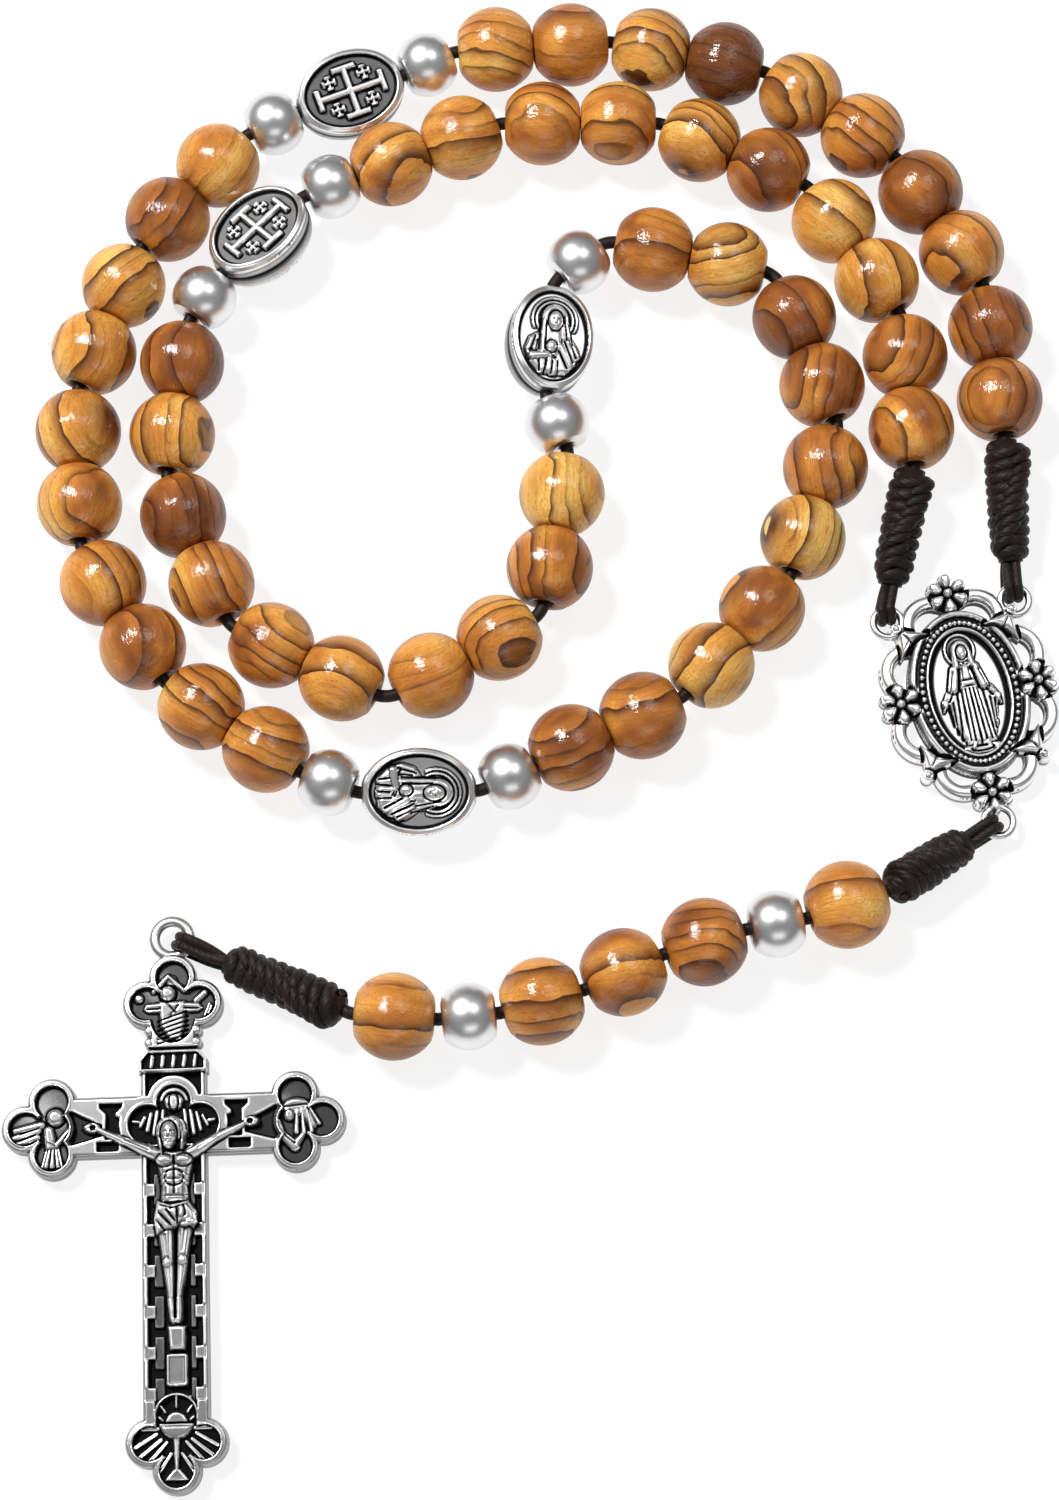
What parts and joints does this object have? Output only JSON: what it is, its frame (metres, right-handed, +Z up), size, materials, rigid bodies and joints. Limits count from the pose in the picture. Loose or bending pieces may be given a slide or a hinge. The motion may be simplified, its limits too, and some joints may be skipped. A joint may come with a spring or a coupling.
{
  "type": "rosary",
  "caption": "Cord rosary laid flat: wood beads, metal spacers and medals on a knotted cord loop, with a cast centrepiece, a pendant strand and a crucifix.",
  "frame": {"origin": "on the table, under the middle of the box around the rosary as it lies", "axes": "+Z up from the table, +Y from the crucifix's foot towards the far side of the bead loop, +X to the right of someone reading the crucifix"},
  "size_m": [0.0966, 0.1411, 0.0081],
  "materials": {
    "olive_wood": "gloss",
    "waxed_cord": "satin",
    "polished_metal": "satin",
    "antique_metal": "antique"
  },
  "bodies": {
    "loop": {"loop_cord": "waxed_cord", "right_knot": "waxed_cord", "left_knot": "waxed_cord"},
    "decade1_beads_1_2": {"decade1_beads_1_2": "olive_wood"},
    "decade1_beads_3_4": {"decade1_beads_3_4": "olive_wood"},
    "decade1_beads_5_6": {"decade1_beads_5_6": "olive_wood"},
    "decade1_beads_7_8": {"decade1_beads_7_8": "olive_wood"},
    "decade1_beads_9_10": {"decade1_beads_9_10": "olive_wood"},
    "spacer_before_medal_1": {"spacer_before_medal_1": "polished_metal"},
    "medal_1": {"medal_1": "antique_metal"},
    "spacer_after_medal_1": {"spacer_after_medal_1": "polished_metal"},
    "decade2_beads_1_2": {"decade2_beads_1_2": "olive_wood"},
    "decade2_beads_3_4": {"decade2_beads_3_4": "olive_wood"},
    "decade2_beads_5_6": {"decade2_beads_5_6": "olive_wood"},
    "decade2_beads_7_8": {"decade2_beads_7_8": "olive_wood"},
    "decade2_beads_9_10": {"decade2_beads_9_10": "olive_wood"},
    "spacer_before_medal_2": {"spacer_before_medal_2": "polished_metal"},
    "medal_2": {"medal_2": "antique_metal"},
    "spacer_after_medal_2": {"spacer_after_medal_2": "polished_metal"},
    "decade3_beads_1_2": {"decade3_beads_1_2": "olive_wood"},
    "decade3_beads_3_4": {"decade3_beads_3_4": "olive_wood"},
    "decade3_beads_5_6": {"decade3_beads_5_6": "olive_wood"},
    "decade3_beads_7_8": {"decade3_beads_7_8": "olive_wood"},
    "decade3_beads_9_10": {"decade3_beads_9_10": "olive_wood"},
    "spacer_before_medal_3": {"spacer_before_medal_3": "polished_metal"},
    "medal_3": {"medal_3": "antique_metal"},
    "spacer_after_medal_3": {"spacer_after_medal_3": "polished_metal"},
    "decade4_beads_1_2": {"decade4_beads_1_2": "olive_wood"},
    "decade4_beads_3_4": {"decade4_beads_3_4": "olive_wood"},
    "decade4_beads_5_6": {"decade4_beads_5_6": "olive_wood"},
    "decade4_beads_7_8": {"decade4_beads_7_8": "olive_wood"},
    "decade4_beads_9_10": {"decade4_beads_9_10": "olive_wood"},
    "spacer_before_medal_4": {"spacer_before_medal_4": "polished_metal"},
    "medal_4": {"medal_4": "antique_metal"},
    "spacer_after_medal_4": {"spacer_after_medal_4": "polished_metal"},
    "decade5_beads_1_2": {"decade5_beads_1_2": "olive_wood"},
    "decade5_beads_3_4": {"decade5_beads_3_4": "olive_wood"},
    "decade5_beads_5_6": {"decade5_beads_5_6": "olive_wood"},
    "decade5_beads_7_8": {"decade5_beads_7_8": "olive_wood"},
    "decade5_beads_9_10": {"decade5_beads_9_10": "olive_wood"},
    "centrepiece": {"centrepiece": "antique_metal"},
    "upper_knot": {"upper_knot": "waxed_cord"},
    "pendant_link_1": {"pendant_cord_1": "waxed_cord"},
    "pendant_wood_bead_1": {"pendant_wood_bead_1": "olive_wood"},
    "pendant_link_2": {"pendant_cord_2": "waxed_cord"},
    "pendant_spacer_bead_1": {"pendant_spacer_bead_1": "polished_metal"},
    "pendant_link_3": {"pendant_cord_3": "waxed_cord"},
    "pendant_wood_bead_2": {"pendant_wood_bead_2": "olive_wood"},
    "pendant_link_4": {"pendant_cord_4": "waxed_cord"},
    "pendant_wood_bead_3": {"pendant_wood_bead_3": "olive_wood"},
    "pendant_link_5": {"pendant_cord_5": "waxed_cord"},
    "pendant_wood_bead_4": {"pendant_wood_bead_4": "olive_wood"},
    "pendant_link_6": {"pendant_cord_6": "waxed_cord"},
    "pendant_spacer_bead_2": {"pendant_spacer_bead_2": "polished_metal"},
    "pendant_link_7": {"pendant_cord_7": "waxed_cord"},
    "pendant_wood_bead_5": {"pendant_wood_bead_5": "olive_wood"},
    "lower_knot": {"lower_knot": "waxed_cord"},
    "crucifix": {"crucifix": "antique_metal"}
  },
  "joints": [
    {"name": "centrepiece_flap", "type": "hinge", "parent": "loop", "child": "centrepiece", "pos_m": [0.03871, 0.01164, 0.00176], "axis": [-0.9833, -0.1822, 0], "range_deg": [0, 110]},
    {"name": "upper_knot_swing", "type": "hinge", "parent": "centrepiece", "child": "upper_knot", "pos_m": [0.04268, -0.00979, 0.00176], "axis": [0, 0, 1], "range_deg": [-8, 50]},
    {"name": "pendant_lift_1", "type": "hinge", "parent": "upper_knot", "child": "pendant_link_1", "pos_m": [0.03211, -0.01679, 0.00405], "axis": [-0.3256, 0.9455, 0], "range_deg": [0, 12]},
    {"name": "spin_pendant_wood_bead_1", "type": "hinge", "parent": "pendant_link_1", "child": "pendant_wood_bead_1", "pos_m": [0.0284, -0.01806, 0.00405], "axis": [-0.9455, -0.3256, 0], "continuous": true},
    {"name": "pendant_sway_2", "type": "hinge", "parent": "pendant_link_1", "child": "pendant_link_2", "pos_m": [0.02469, -0.01934, 0.00405], "axis": [0, 0, -1], "range_deg": [-9, 9]},
    {"name": "spin_pendant_spacer_bead_1", "type": "hinge", "parent": "pendant_link_2", "child": "pendant_spacer_bead_1", "pos_m": [0.02196, -0.01985, 0.00405], "axis": [-0.9833, -0.1822, 0], "continuous": true},
    {"name": "pendant_lift_3", "type": "hinge", "parent": "pendant_link_2", "child": "pendant_link_3", "pos_m": [0.01923, -0.02035, 0.00405], "axis": [-0.2924, 0.9563, 0], "range_deg": [0, 12]},
    {"name": "spin_pendant_wood_bead_2", "type": "hinge", "parent": "pendant_link_3", "child": "pendant_wood_bead_2", "pos_m": [0.01548, -0.0215, 0.00405], "axis": [-0.9563, -0.2924, 0], "continuous": true},
    {"name": "pendant_sway_4", "type": "hinge", "parent": "pendant_link_3", "child": "pendant_link_4", "pos_m": [0.01172, -0.02265, 0.00405], "axis": [0, 0, 1], "range_deg": [-9, 9]},
    {"name": "spin_pendant_wood_bead_3", "type": "hinge", "parent": "pendant_link_4", "child": "pendant_wood_bead_3", "pos_m": [0.00815, -0.02428, 0.00405], "axis": [-0.91, -0.4147, 0], "continuous": true},
    {"name": "pendant_lift_5", "type": "hinge", "parent": "pendant_link_4", "child": "pendant_link_5", "pos_m": [0.00458, -0.0259, 0.00405], "axis": [-0.2672, 0.9636, 0], "range_deg": [0, 12]},
    {"name": "spin_pendant_wood_bead_4", "type": "hinge", "parent": "pendant_link_5", "child": "pendant_wood_bead_4", "pos_m": [0.0008, -0.02695, 0.00405], "axis": [-0.9636, -0.2672, 0], "continuous": true},
    {"name": "pendant_sway_6", "type": "hinge", "parent": "pendant_link_5", "child": "pendant_link_6", "pos_m": [-0.00299, -0.028, 0.00405], "axis": [0, 0, -1], "range_deg": [-9, 9]},
    {"name": "spin_pendant_spacer_bead_2", "type": "hinge", "parent": "pendant_link_6", "child": "pendant_spacer_bead_2", "pos_m": [-0.00575, -0.02829, 0.00405], "axis": [-0.9945, -0.1045, 0], "continuous": true},
    {"name": "pendant_lift_7", "type": "hinge", "parent": "pendant_link_6", "child": "pendant_link_7", "pos_m": [-0.00851, -0.02858, 0.00405], "axis": [0.0698, 0.9976, 0], "range_deg": [0, 12]},
    {"name": "spin_pendant_wood_bead_5", "type": "hinge", "parent": "pendant_link_7", "child": "pendant_wood_bead_5", "pos_m": [-0.01242, -0.02831, 0.00405], "axis": [-0.9976, 0.0698, 0], "continuous": true},
    {"name": "lower_knot_sway", "type": "hinge", "parent": "pendant_link_7", "child": "lower_knot", "pos_m": [-0.01634, -0.02803, 0.00405], "axis": [0, 0, 1], "range_deg": [-8, 8]},
    {"name": "crucifix_swing", "type": "hinge", "parent": "lower_knot", "child": "crucifix", "pos_m": [-0.03273, -0.02073, 0.00176], "axis": [0, 0, 1], "range_deg": [-45, 8]},
    {"name": "spin_decade1_beads_1_2", "type": "hinge", "parent": "loop", "child": "decade1_beads_1_2", "pos_m": [0.04354, 0.0341, 0.00405], "axis": [-0.0872, 0.9962, 0], "continuous": true},
    {"name": "spin_decade1_beads_3_4", "type": "hinge", "parent": "loop", "child": "decade1_beads_3_4", "pos_m": [0.03888, 0.04842, 0.00405], "axis": [-0.515, 0.8572, 0], "continuous": true},
    {"name": "spin_decade1_beads_5_6", "type": "hinge", "parent": "loop", "child": "decade1_beads_5_6", "pos_m": [0.02872, 0.05952, 0.00405], "axis": [-0.809, 0.5878, 0], "continuous": true},
    {"name": "spin_decade1_beads_7_8", "type": "hinge", "parent": "loop", "child": "decade1_beads_7_8", "pos_m": [0.01496, 0.06564, 0.00405], "axis": [-0.9781, 0.2079, 0], "continuous": true},
    {"name": "spin_decade1_beads_9_10", "type": "hinge", "parent": "loop", "child": "decade1_beads_9_10", "pos_m": [0.00003, 0.06668, 0.00405], "axis": [-0.9976, -0.0698, 0], "continuous": true},
    {"name": "spin_spacer_before_medal_1", "type": "hinge", "parent": "loop", "child": "spacer_before_medal_1", "pos_m": [-0.01021, 0.06483, 0.00405], "axis": [-0.891, -0.454, 0], "continuous": true},
    {"name": "spin_medal_1", "type": "hinge", "parent": "loop", "child": "medal_1", "pos_m": [-0.01754, 0.06173, 0.00405], "axis": [-0.9336, -0.3584, 0], "continuous": true},
    {"name": "spin_spacer_after_medal_1", "type": "hinge", "parent": "loop", "child": "spacer_after_medal_1", "pos_m": [-0.02487, 0.05867, 0.00405], "axis": [-0.8988, -0.4384, 0], "continuous": true},
    {"name": "spin_decade2_beads_1_2", "type": "hinge", "parent": "loop", "child": "decade2_beads_1_2", "pos_m": [-0.03243, 0.0515, 0.00405], "axis": [-0.6428, -0.766, 0], "continuous": true},
    {"name": "spin_decade2_beads_3_4", "type": "hinge", "parent": "loop", "child": "decade2_beads_3_4", "pos_m": [-0.04005, 0.03857, 0.00405], "axis": [-0.3584, -0.9336, 0], "continuous": true},
    {"name": "spin_decade2_beads_5_6", "type": "hinge", "parent": "loop", "child": "decade2_beads_5_6", "pos_m": [-0.0424, 0.0237, 0.00405], "axis": [0.0523, -0.9986, 0], "continuous": true},
    {"name": "spin_decade2_beads_7_8", "type": "hinge", "parent": "loop", "child": "decade2_beads_7_8", "pos_m": [-0.03787, 0.00933, 0.00405], "axis": [0.5299, -0.848, 0], "continuous": true},
    {"name": "spin_decade2_beads_9_10", "type": "hinge", "parent": "loop", "child": "decade2_beads_9_10", "pos_m": [-0.02742, -0.0015, 0.00405], "axis": [0.829, -0.5592, 0], "continuous": true},
    {"name": "spin_spacer_before_medal_2", "type": "hinge", "parent": "loop", "child": "spacer_before_medal_2", "pos_m": [-0.01859, -0.00665, 0.00405], "axis": [0.9397, -0.342, 0], "continuous": true},
    {"name": "spin_medal_2", "type": "hinge", "parent": "loop", "child": "medal_2", "pos_m": [-0.01036, -0.00753, 0.00405], "axis": [0.9998, 0.0175, 0], "continuous": true},
    {"name": "spin_spacer_after_medal_2", "type": "hinge", "parent": "loop", "child": "spacer_after_medal_2", "pos_m": [-0.00213, -0.00609, 0.00405], "axis": [0.891, 0.454, 0], "continuous": true},
    {"name": "spin_decade3_beads_1_2", "type": "hinge", "parent": "loop", "child": "decade3_beads_1_2", "pos_m": [0.0068, -0.00183, 0.00405], "axis": [0.9063, 0.4226, 0], "continuous": true},
    {"name": "spin_decade3_beads_3_4", "type": "hinge", "parent": "loop", "child": "decade3_beads_3_4", "pos_m": [0.01882, 0.00722, 0.00405], "axis": [0.6561, 0.7547, 0], "continuous": true},
    {"name": "spin_decade3_beads_5_6", "type": "hinge", "parent": "loop", "child": "decade3_beads_5_6", "pos_m": [0.02623, 0.02032, 0.00405], "axis": [0.309, 0.9511, 0], "continuous": true},
    {"name": "spin_decade3_beads_7_8", "type": "hinge", "parent": "loop", "child": "decade3_beads_7_8", "pos_m": [0.02596, 0.03533, 0.00405], "axis": [-0.342, 0.9397, 0], "continuous": true},
    {"name": "spin_decade3_beads_9_10", "type": "hinge", "parent": "loop", "child": "decade3_beads_9_10", "pos_m": [0.01497, 0.04489, 0.00405], "axis": [-0.9781, 0.2079, 0], "continuous": true},
    {"name": "spin_spacer_before_medal_3", "type": "hinge", "parent": "loop", "child": "spacer_before_medal_3", "pos_m": [0.00433, 0.04435, 0.00405], "axis": [-0.7547, -0.6561, 0], "continuous": true},
    {"name": "spin_medal_3", "type": "hinge", "parent": "loop", "child": "medal_3", "pos_m": [0.00154, 0.0363, 0.00405], "axis": [-0.0523, -0.9986, 0], "continuous": true},
    {"name": "spin_spacer_after_medal_3", "type": "hinge", "parent": "loop", "child": "spacer_after_medal_3", "pos_m": [0.00229, 0.02801, 0.00405], "axis": [0.3584, -0.9336, 0], "continuous": true},
    {"name": "spin_decade4_beads_1_2", "type": "hinge", "parent": "loop", "child": "decade4_beads_1_2", "pos_m": [0.00215, 0.0175, 0.00405], "axis": [-0.1564, -0.9877, 0], "continuous": true},
    {"name": "spin_decade4_beads_3_4", "type": "hinge", "parent": "loop", "child": "decade4_beads_3_4", "pos_m": [-0.00622, 0.00532, 0.00405], "axis": [-0.866, -0.5, 0], "continuous": true},
    {"name": "spin_decade4_beads_5_6", "type": "hinge", "parent": "loop", "child": "decade4_beads_5_6", "pos_m": [-0.02084, 0.00481, 0.00405], "axis": [-0.8988, 0.4384, 0], "continuous": true},
    {"name": "spin_decade4_beads_7_8", "type": "hinge", "parent": "loop", "child": "decade4_beads_7_8", "pos_m": [-0.03115, 0.01567, 0.00405], "axis": [-0.3907, 0.9205, 0], "continuous": true},
    {"name": "spin_decade4_beads_9_10", "type": "hinge", "parent": "loop", "child": "decade4_beads_9_10", "pos_m": [-0.03338, 0.03057, 0.00405], "axis": [0.1045, 0.9945, 0], "continuous": true},
    {"name": "spin_spacer_before_medal_4", "type": "hinge", "parent": "loop", "child": "spacer_before_medal_4", "pos_m": [-0.03106, 0.04075, 0.00405], "axis": [0.515, 0.8572, 0], "continuous": true},
    {"name": "spin_medal_4", "type": "hinge", "parent": "loop", "child": "medal_4", "pos_m": [-0.02588, 0.047, 0.00405], "axis": [0.6947, 0.7193, 0], "continuous": true},
    {"name": "spin_spacer_after_medal_4", "type": "hinge", "parent": "loop", "child": "spacer_after_medal_4", "pos_m": [-0.0193, 0.05211, 0.00405], "axis": [0.9272, 0.3746, 0], "continuous": true},
    {"name": "spin_decade5_beads_1_2", "type": "hinge", "parent": "loop", "child": "decade5_beads_1_2", "pos_m": [-0.01019, 0.05579, 0.00405], "axis": [0.9272, 0.3746, 0], "continuous": true},
    {"name": "spin_decade5_beads_3_4", "type": "hinge", "parent": "loop", "child": "decade5_beads_3_4", "pos_m": [0.00457, 0.05866, 0.00405], "axis": [1, 0, 0], "continuous": true},
    {"name": "spin_decade5_beads_5_6", "type": "hinge", "parent": "loop", "child": "decade5_beads_5_6", "pos_m": [0.01927, 0.0554, 0.00405], "axis": [0.9063, -0.4226, 0], "continuous": true},
    {"name": "spin_decade5_beads_7_8", "type": "hinge", "parent": "loop", "child": "decade5_beads_7_8", "pos_m": [0.03064, 0.04552, 0.00405], "axis": [0.5446, -0.8387, 0], "continuous": true},
    {"name": "spin_decade5_beads_9_10", "type": "hinge", "parent": "loop", "child": "decade5_beads_9_10", "pos_m": [0.03529, 0.0312, 0.00405], "axis": [0.0523, -0.9986, 0], "continuous": true}
  ]
}
